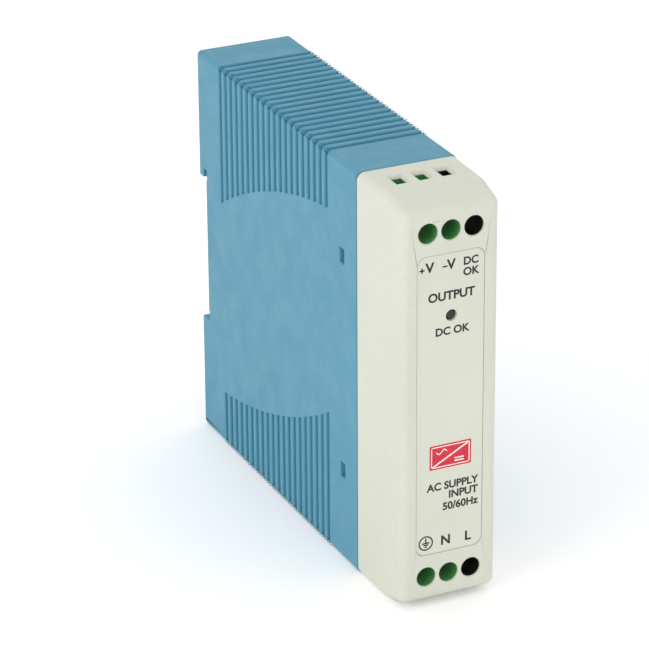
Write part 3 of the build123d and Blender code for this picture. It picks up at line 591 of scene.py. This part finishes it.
class SUPPLY_OT_marks(bpy.types.Operator):
    """Print the terminal marks on the label"""

    bl_idname = "supply.marks"
    bl_label = "Printed marks"

    def execute(self, context):
        scene = context.scene
        sizes = scene.label_settings
        small = sizes.small_letters
        large = sizes.large_letters
        low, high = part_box("front_label")
        lamp = centre_of("lamp")
        top = high.z - 2.4 * MM
        bottom = low.z + 2.6 * MM
        right = high.x - 0.95 * MM
        first, second, third = (terminal_place(pole) for pole in POLES)
        words = [
            printed("V", first + 0.4 * MM, top, large),
            printed("V", second + 0.05 * MM, top, large),
            printed("DC", third - 0.65 * MM, top + 0.1 * MM, small),
            printed("OK", third - 0.65 * MM, top - 2.2 * MM, small),
            printed("OUTPUT", lamp.x - 0.05 * MM, lamp.z + 4.46 * MM, small * 1.12),
            printed("DC OK", lamp.x + 0.15 * MM, lamp.z - 3.2 * MM, small),
            printed("AC SUPPLY", right, bottom + 12.4 * MM, small, "RIGHT"),
            printed("INPUT", right, bottom + 10.2 * MM, small, "RIGHT"),
            printed("50/60Hz", right, bottom + 7.65 * MM, small, "RIGHT"),
            printed("N", second - 0.74 * MM, bottom, large),
            printed("L", third - 0.77 * MM, bottom - 0.15 * MM, large),
        ]
        sign = 1.1 * MM
        words.append(bar(first - 1.3 * MM, top - 0.35 * MM, sign, SIGN_STROKE))
        words.append(bar(first - 1.3 * MM, top - 0.35 * MM, SIGN_STROKE, sign))
        words.append(bar(second - 1.32 * MM, top - 0.3 * MM, sign, SIGN_STROKE))
        words = words + self.earth_sign(first - 0.17 * MM, bottom + 0.07 * MM)
        piece = join(words)
        finish_piece(piece, "printed_marks", "front_label", ink("print_ink", sizes.ink_colour), False)
        return {"FINISHED"}

    def earth_sign(self, x, z):
        parts = [ring(x, z, 1.65 * MM, SIGN_STROKE), bar(x, z + 0.55 * MM, SIGN_STROKE, 1.1 * MM)]
        for step, wide in enumerate((1.7, 1.1, 0.5)):
            parts.append(bar(x, z - step * 0.42 * MM, wide * MM, SIGN_STROKE))
        return parts


class SUPPLY_OT_badge(bpy.types.Operator):
    """Print the red badge with the sign for a converter from alternating to direct current"""

    bl_idname = "supply.badge"
    bl_label = "Badge"

    def execute(self, context):
        scene = context.scene
        sizes = scene.label_settings
        x = centre_of("lamp").x
        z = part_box("front_label")[0].z + 21.65 * MM
        wide = sizes.badge_width
        high = sizes.badge_height
        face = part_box("front_label")[0].y
        thick = 2 * sizes.ink_height
        patch = add_box((x, face, z), (wide, thick, high))
        open_mesh(patch, "EDGE")
        choose(patch, "edges", lambda item: abs((item.verts[0].co - item.verts[1].co).y) > thick / 2)
        bpy.ops.mesh.bevel(offset=0.25 * MM, segments=4, affect="EDGES")
        close_mesh()
        finish_piece(patch, "badge_patch", "front_label", ink("badge_ink", sizes.badge_colour), False)

        angle = math.atan2(high - 1.0 * MM, wide - 1.0 * MM)
        strokes = [bar(x, z, math.hypot(wide, high) - 1.7 * MM, 0.32 * MM, -angle, 1.5)]
        for side in (-1, 1):
            strokes.append(bar(x, z + side * (high / 2 - 0.45 * MM), wide - 0.75 * MM, 0.2 * MM, 0, 1.5))
            strokes.append(bar(x + side * (wide / 2 - 0.45 * MM), z, 0.2 * MM, high - 0.75 * MM, 0, 1.5))
            level = z - high * 0.22 + side * 0.3 * MM
            strokes.append(bar(x + wide * 0.21, level, 2.1 * MM, 0.28 * MM, 0, 1.5))
        strokes.append(self.wave(x - wide * 0.21, z + high * 0.2, 2.4 * MM, 0.45 * MM, 0.28 * MM))
        sign = join(strokes)
        finish_piece(sign, "badge_sign", "front_label", ink("badge_white", tone(238, 236, 228)), False)
        return {"FINISHED"}

    def wave(self, x, z, wide, swing, stroke):
        """One period of a wave as a printed stroke."""
        thick = 3 * bpy.context.scene.label_settings.ink_height
        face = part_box("front_label")[0].y
        piece = add_box((x, face, z), (wide, thick, stroke))
        open_mesh(piece)
        steps = 15
        for index in range(1, steps + 1):
            place = x - wide / 2 + wide * index / (steps + 1)
            bpy.ops.mesh.select_all(action="SELECT")
            bpy.ops.mesh.bisect(plane_co=(place, face, z), plane_no=(1, 0, 0))
        close_mesh()
        for vert in piece.data.vertices:
            vert.co.z += swing * math.sin(2 * math.pi * (vert.co.x - x) / wide)
        return piece


class SUPPLY_OT_terminals(bpy.types.Operator):
    """Model the terminal bodies"""

    bl_idname = "supply.terminals"
    bl_label = "Terminal bodies"

    def execute(self, context):
        scene = context.scene
        sizes = scene.terminal_settings
        looks = {
            "pair": moulded("terminal_green", sizes.first_colour, 0.00025, 0.42, 0.5, 0.04),
            # Near-black third-pole bodies: painted shade for the dark third terminal holes.
            "single": moulded("terminal_dark", sizes.third_pole_shade_colour, 0.00025, 0.4, 0.5, 0.04),
        }
        for side in SIDES:
            for kind, look in looks.items():
                node = f"{side}_terminal_{kind}_body"
                piece = merged_copy(node)
                soften(piece, 0.00008, 2, 35)
                smooth(piece, 35)
                finish_piece(piece, node + "_moulding", node, look)
        return {"FINISHED"}


class SUPPLY_OT_screws(bpy.types.Operator):
    """Model the terminal screws with slot, cross and thread"""

    bl_idname = "supply.screws"
    bl_label = "Terminal screws"

    def execute(self, context):
        scene = context.scene
        sizes = scene.terminal_settings
        look = metal("screw_steel", tone(196, 196, 188), 0.32, (1, 6, 1))
        first = self.one_screw(sizes)
        home = centre_of("dc_terminal_screw_1")
        for side in SIDES:
            for pole in POLES:
                node = f"{side}_terminal_screw_{pole}"
                piece = copy_of(first, centre_of(node) - home)
                smooth(piece, 35)
                finish_piece(piece, node + "_machined", node, look)
        bpy.data.objects.remove(first)
        return {"FINISHED"}

    def one_screw(self, sizes):
        low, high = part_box("dc_terminal_screw_1")
        x, z = centre_of("dc_terminal_screw_1").x, centre_of("dc_terminal_screw_1").z
        radius = (high.x - low.x) / 2
        core = SHANK_RADIUS - 0.6 * sizes.thread_pitch
        head = add_rod((x, low.y + HEAD_DEPTH / 2, z), radius, HEAD_DEPTH, "Y", 64)
        rim = low.y + 0.1 * MM
        open_mesh(head, "EDGE")
        choose(head, "edges", lambda item: edge_middle(item).y < rim)
        bpy.ops.mesh.bevel(offset=0.32 * MM, segments=4, affect="EDGES")
        choose(head, "faces", lambda item: item.normal.y > 0.9)
        bpy.ops.mesh.inset(thickness=radius - core)
        drop = (0, high.y - low.y - HEAD_DEPTH, 0)
        bpy.ops.mesh.extrude_region_move(TRANSFORM_OT_translate={"value": drop})
        close_mesh()
        tip = high.y - 0.05 * MM
        open_mesh(head, "EDGE")
        choose(head, "edges", lambda item: edge_middle(item).y > tip)
        bpy.ops.mesh.bevel(offset=0.25 * MM, segments=2, affect="EDGES")
        close_mesh()
        cut(head, add_box((x, low.y, z), (sizes.slot_width, 1.6 * MM, 3 * radius)))
        cross = add_box((x, low.y, z), (2.2 * MM, 2.2 * MM, 0.5 * MM))
        cut(head, cross)
        start = low.y + HEAD_DEPTH + 0.35 * MM
        end = high.y - 0.3 * MM
        thread = self.thread(x, z, start, end, core, SHANK_RADIUS, sizes.thread_pitch)
        return join([head, thread])

    def thread(self, x, z, start, end, core, crest, pitch):
        """A ridge that winds along Y from start to end, closed at both ends."""
        deselect()
        bpy.ops.mesh.primitive_circle_add(vertices=3, radius=pitch / 2, fill_type="NOTHING")
        ridge = bpy.context.object
        corners = [(core - 0.02 * MM, -0.46 * pitch), (crest, 0), (core - 0.02 * MM, 0.46 * pitch)]
        for vert, (out, along) in zip(ridge.data.vertices, corners):
            vert.co = (out, 0, along)
        turns = (end - start) / pitch
        steps = 40
        apply_modifier(
            ridge, "SCREW", angle=2 * math.pi * turns, screw_offset=end - start, iterations=1,
            steps=int(steps * turns), render_steps=int(steps * turns), axis="Z",
        )
        open_mesh(ridge, "EDGE")
        bpy.ops.mesh.select_all(action="SELECT")
        bpy.ops.mesh.remove_doubles(threshold=1e-7)
        bpy.ops.mesh.select_all(action="DESELECT")
        bpy.ops.mesh.select_non_manifold(extend=False, use_wire=False, use_boundary=True)
        bpy.ops.mesh.edge_face_add()
        bpy.ops.mesh.select_all(action="SELECT")
        bpy.ops.mesh.normals_make_consistent(inside=False)
        close_mesh()
        turned = Matrix.Translation((x, start, z)) @ Euler((-math.pi / 2, 0, 0)).to_matrix().to_4x4()
        ridge.data.transform(turned)
        return ridge


class SUPPLY_OT_latch(bpy.types.Operator):
    """Model the rail latch"""

    bl_idname = "supply.latch"
    bl_label = "Rail latch"

    def execute(self, context):
        scene = context.scene
        sizes = scene.case_settings
        piece = merged_copy("rail_latch")
        soften(piece, 0.00018, 3, 35)
        smooth(piece, 35)
        finish = moulded("latch_plastic", sizes.latch_colour, sizes.grain, 0.45, 0.45, 0.06)
        finish_piece(piece, "rail_latch_moulding", "rail_latch", finish)
        return {"FINISHED"}


class SUPPLY_OT_spring(bpy.types.Operator):
    """Wind the latch spring"""

    bl_idname = "supply.spring"
    bl_label = "Latch spring"

    def execute(self, context):
        scene = context.scene
        sizes = scene.latch_settings
        low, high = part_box("latch_spring")
        middle = (low + high) / 2
        radius = (high.x - low.x) / 2 - sizes.wire / 2
        steps_per_turn = 20
        count = int(sizes.turns * steps_per_turn)
        reach = high.z - low.z - sizes.wire
        points = []
        for index in range(count + 1):
            share = index / count
            angle = 2 * math.pi * sizes.turns * share
            rise = self.rise(share, sizes.turns, sizes.wire / reach)
            height = low.z + sizes.wire / 2 + rise * reach
            place = (math.cos(angle) * radius, math.sin(angle) * radius, height)
            points.append(Vector((middle.x, middle.y, 0)) + Vector(place))
        deselect()
        line = bpy.data.curves.new("spring_line", "CURVE")
        line.dimensions = "3D"
        run = line.splines.new("POLY")
        run.points.add(count)
        for point, place in zip(run.points, points):
            point.co = (*place, 1)
        line.bevel_depth = sizes.wire / 2
        line.bevel_resolution = 3
        line.use_fill_caps = True
        piece = bpy.data.objects.new("spring_wire", line)
        bpy.context.scene.collection.objects.link(piece)
        pick(piece)
        bpy.ops.object.convert(target="MESH")
        piece = bpy.context.object
        open_mesh(piece)
        bpy.ops.mesh.select_all(action="SELECT")
        bpy.ops.mesh.normals_make_consistent(inside=False)
        close_mesh()
        smooth(piece, 50)
        steel = metal("spring_steel", tone(190, 190, 192), 0.26)
        finish_piece(piece, "latch_spring_wire", "latch_spring", steel)
        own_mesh(piece)
        return {"FINISHED"}

    def rise(self, share, turns, closed):
        """Share of the height at a share of the wire: the first and the last turn lie closed."""
        end = 1 / turns
        if share < end:
            return closed * share / end
        if share > 1 - end:
            return 1 - closed * (1 - share) / end
        return closed + (1 - 2 * closed) * (share - end) / (1 - 2 * end)


class SUPPLY_OT_lamp(bpy.types.Operator):
    """Model the light pipe"""

    bl_idname = "supply.lamp"
    bl_label = "Light pipe and lamp"

    def execute(self, context):
        low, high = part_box("light_pipe")
        middle = (low + high) / 2
        radius = (high.x - low.x) / 2
        pipe = add_rod(middle, radius, high.y - low.y, "Y", 48)
        near = low.y + 0.1 * MM
        open_mesh(pipe, "EDGE")
        choose(pipe, "edges", lambda item: edge_middle(item).y < near)
        bpy.ops.mesh.bevel(offset=0.45 * MM, segments=5, affect="EDGES")
        collar = middle.y + 2 * MM
        bpy.ops.mesh.select_all(action="SELECT")
        bpy.ops.mesh.bisect(plane_co=(0, collar, 0), plane_no=(0, 1, 0))
        bpy.ops.mesh.select_all(action="SELECT")
        bpy.ops.mesh.bisect(plane_co=(0, collar + 1 * MM, 0), plane_no=(0, 1, 0))
        choose(pipe, "faces", lambda item: collar < item.calc_center_median().y < collar + 1 * MM)
        bpy.ops.mesh.extrude_region_shrink_fatten(TRANSFORM_OT_shrink_fatten={"value": 0.5 * MM})
        close_mesh()
        smooth(pipe, 40)
        finish_piece(pipe, "light_pipe_rod", "light_pipe", clear("light_pipe_clear", tone(62, 92, 70)))
        return {"FINISHED"}


# ---------------------------------------------------------------- carried-over nodes


def dress(node, material):
    """Give a CAD node its finish."""
    piece = frame["nodes"][node]
    if not piece.material_slots:
        piece.data.materials.append(material)
    for place in piece.material_slots:
        place.link = "OBJECT"
        place.material = material


class SUPPLY_OT_inside(bpy.types.Operator):
    """Give the parts inside their finishes"""

    bl_idname = "supply.inside"
    bl_label = "Finishes inside"

    def execute(self, context):
        scene = context.scene
        sizes = scene.inside_settings
        plain = {
            "bobbin_plastic": tone(96, 88, 78),
            "component_epoxy": tone(44, 44, 47),
            "film_capacitor_case": tone(222, 200, 66),
            "fuse_case": tone(88, 66, 54),
            "header_plastic": tone(40, 40, 40),
            "insulation_film": tone(222, 220, 205),
            "lamp_lens": tone(88, 175, 108),
            "pad_silicone": tone(158, 160, 164),
            "thermistor_coat": tone(48, 88, 62),
            "varistor_coat": tone(62, 104, 176),
            "winding_tape": tone(230, 205, 88),
            "capacitor_sleeve": sizes.sleeve_colour,
            "ferrite": tone(84, 84, 88),
            "board_laminate": sizes.board_colour,
        }
        metals = {
            "clamp_brass": (tone(214, 204, 170), 0.3),
            "contact_tin": (tone(212, 212, 210), 0.34),
            "heat_sink_metal": (tone(216, 218, 220), 0.36),
            "screw_steel": (tone(200, 200, 194), 0.32),
            "copper_wire": (tone(206, 128, 74), 0.3),
        }
        looks = {}
        for slot_name, base in plain.items():
            looks[slot_name] = moulded(slot_name, base, 0.0003, 0.45, 0.45, 0.05)
        for slot_name, (base, rough) in metals.items():
            looks[slot_name] = metal(slot_name + "_finish", base, rough)
        for node, item in frame["nodes"].items():
            if not item.hide_render:
                dress(node, looks[SLOT_OF[node]])
        return {"FINISHED"}


class SUPPLY_OT_stage(bpy.types.Operator):
    """Set up the floor, the lights and the camera"""

    bl_idname = "supply.stage"
    bl_label = "Stage"

    def execute(self, context):
        scene = context.scene
        sizes = scene.stage_settings
        self.floor(sizes)
        self.lights(scene, sizes)
        self.camera(scene, sizes)
        scene.view_settings.view_transform = "Standard"
        return {"FINISHED"}

    def floor(self, sizes):
        deselect()
        bpy.ops.mesh.primitive_plane_add(size=8, location=(0, 0, CAD_BOX[0].z - 0.00005))
        floor = bpy.context.object
        floor.name = "floor"
        bpy.ops.object.transform_apply(location=True, rotation=True, scale=True)
        skin = Finish("floor_paper", rough=0.9, Specular_IOR_Level=0.1)
        skin.set("Emission Color", (1, 1, 1, 1))
        skin.set("Emission Strength", sizes.floor_glow)
        cloud = skin.noise(0.4, 2)
        skin.paint(skin.blend(cloud, shade(sizes.floor_colour, 0.995), sizes.floor_colour))
        floor.data.materials.append(skin.material)

    def lights(self, scene, sizes):
        world = bpy.data.worlds.new("soft_room")
        scene.world = world
        world.use_nodes = True
        back = world.node_tree.nodes["Background"]
        back.inputs["Color"].default_value = (1, 1, 1, 1)
        back.inputs["Strength"].default_value = sizes.sky
        aim = (CAD_BOX[0] + CAD_BOX[1]) / 2
        places = (
            ("key_light", (-0.9, -0.35, 0.5), 0.5, sizes.key),
            ("front_light", (-0.2, -1.0, 0.5), 0.5, sizes.key * 0.2),
        )
        for name, place, size, power in places:
            lamp = bpy.data.lights.new(name, "AREA")
            lamp.shape = "SQUARE"
            lamp.size = size
            lamp.energy = power
            item = bpy.data.objects.new(name, lamp)
            scene.collection.objects.link(item)
            item.location = place
            item.rotation_euler = (Vector(place) - aim).to_track_quat("Z", "Y").to_euler()

    def camera(self, scene, sizes):
        lens = bpy.data.cameras.new("camera")
        lens.lens = sizes.lens
        lens.sensor_width = 36
        lens.clip_start = 0.01
        item = bpy.data.objects.new("camera", lens)
        scene.collection.objects.link(item)
        turn = Matrix.Rotation(sizes.turn, 4, "Z") @ Matrix.Rotation(sizes.tilt, 4, "X")
        turn = turn @ Matrix.Rotation(sizes.roll, 4, "Z")
        item.matrix_world = Matrix.Translation(sizes.place) @ turn
        scene.camera = item


# ---------------------------------------------------------------- panel and registration


SETTINGS = {
    "case_settings": CaseSettings,
    "label_settings": LabelSettings,
    "terminal_settings": TerminalSettings,
    "latch_settings": LatchSettings,
    "inside_settings": InsideSettings,
    "stage_settings": StageSettings,
}
MAKERS = (
    SUPPLY_OT_housing,
    SUPPLY_OT_cover,
    SUPPLY_OT_label,
    SUPPLY_OT_marks,
    SUPPLY_OT_badge,
    SUPPLY_OT_terminals,
    SUPPLY_OT_screws,
    SUPPLY_OT_latch,
    SUPPLY_OT_spring,
    SUPPLY_OT_lamp,
    SUPPLY_OT_inside,
    SUPPLY_OT_stage,
)


class SUPPLY_PT_panel(bpy.types.Panel):
    """Lists the makers and their settings"""

    bl_idname = "SUPPLY_PT_panel"
    bl_label = "Power supply"
    bl_space_type = "VIEW_3D"
    bl_region_type = "UI"
    bl_category = "Power supply"

    def draw(self, context):
        for maker in MAKERS:
            self.layout.operator(maker.bl_idname)
        for name, group in SETTINGS.items():
            box = self.layout.box()
            for key in group.__annotations__:
                box.prop(getattr(context.scene, name), key)


def register():
    for group in SETTINGS.values():
        bpy.utils.register_class(group)
    for name, group in SETTINGS.items():
        setattr(bpy.types.Scene, name, bpy.props.PointerProperty(type=group))
    for maker in MAKERS:
        bpy.utils.register_class(maker)
    bpy.utils.register_class(SUPPLY_PT_panel)


def unregister():
    bpy.utils.unregister_class(SUPPLY_PT_panel)
    for maker in reversed(MAKERS):
        bpy.utils.unregister_class(maker)
    for name, group in SETTINGS.items():
        delattr(bpy.types.Scene, name)
        bpy.utils.unregister_class(group)


def main():
    register()
    for maker in MAKERS:
        family, name = maker.bl_idname.split(".")
        getattr(getattr(bpy.ops, family), name)()


if __name__ == "__main__":
    main()
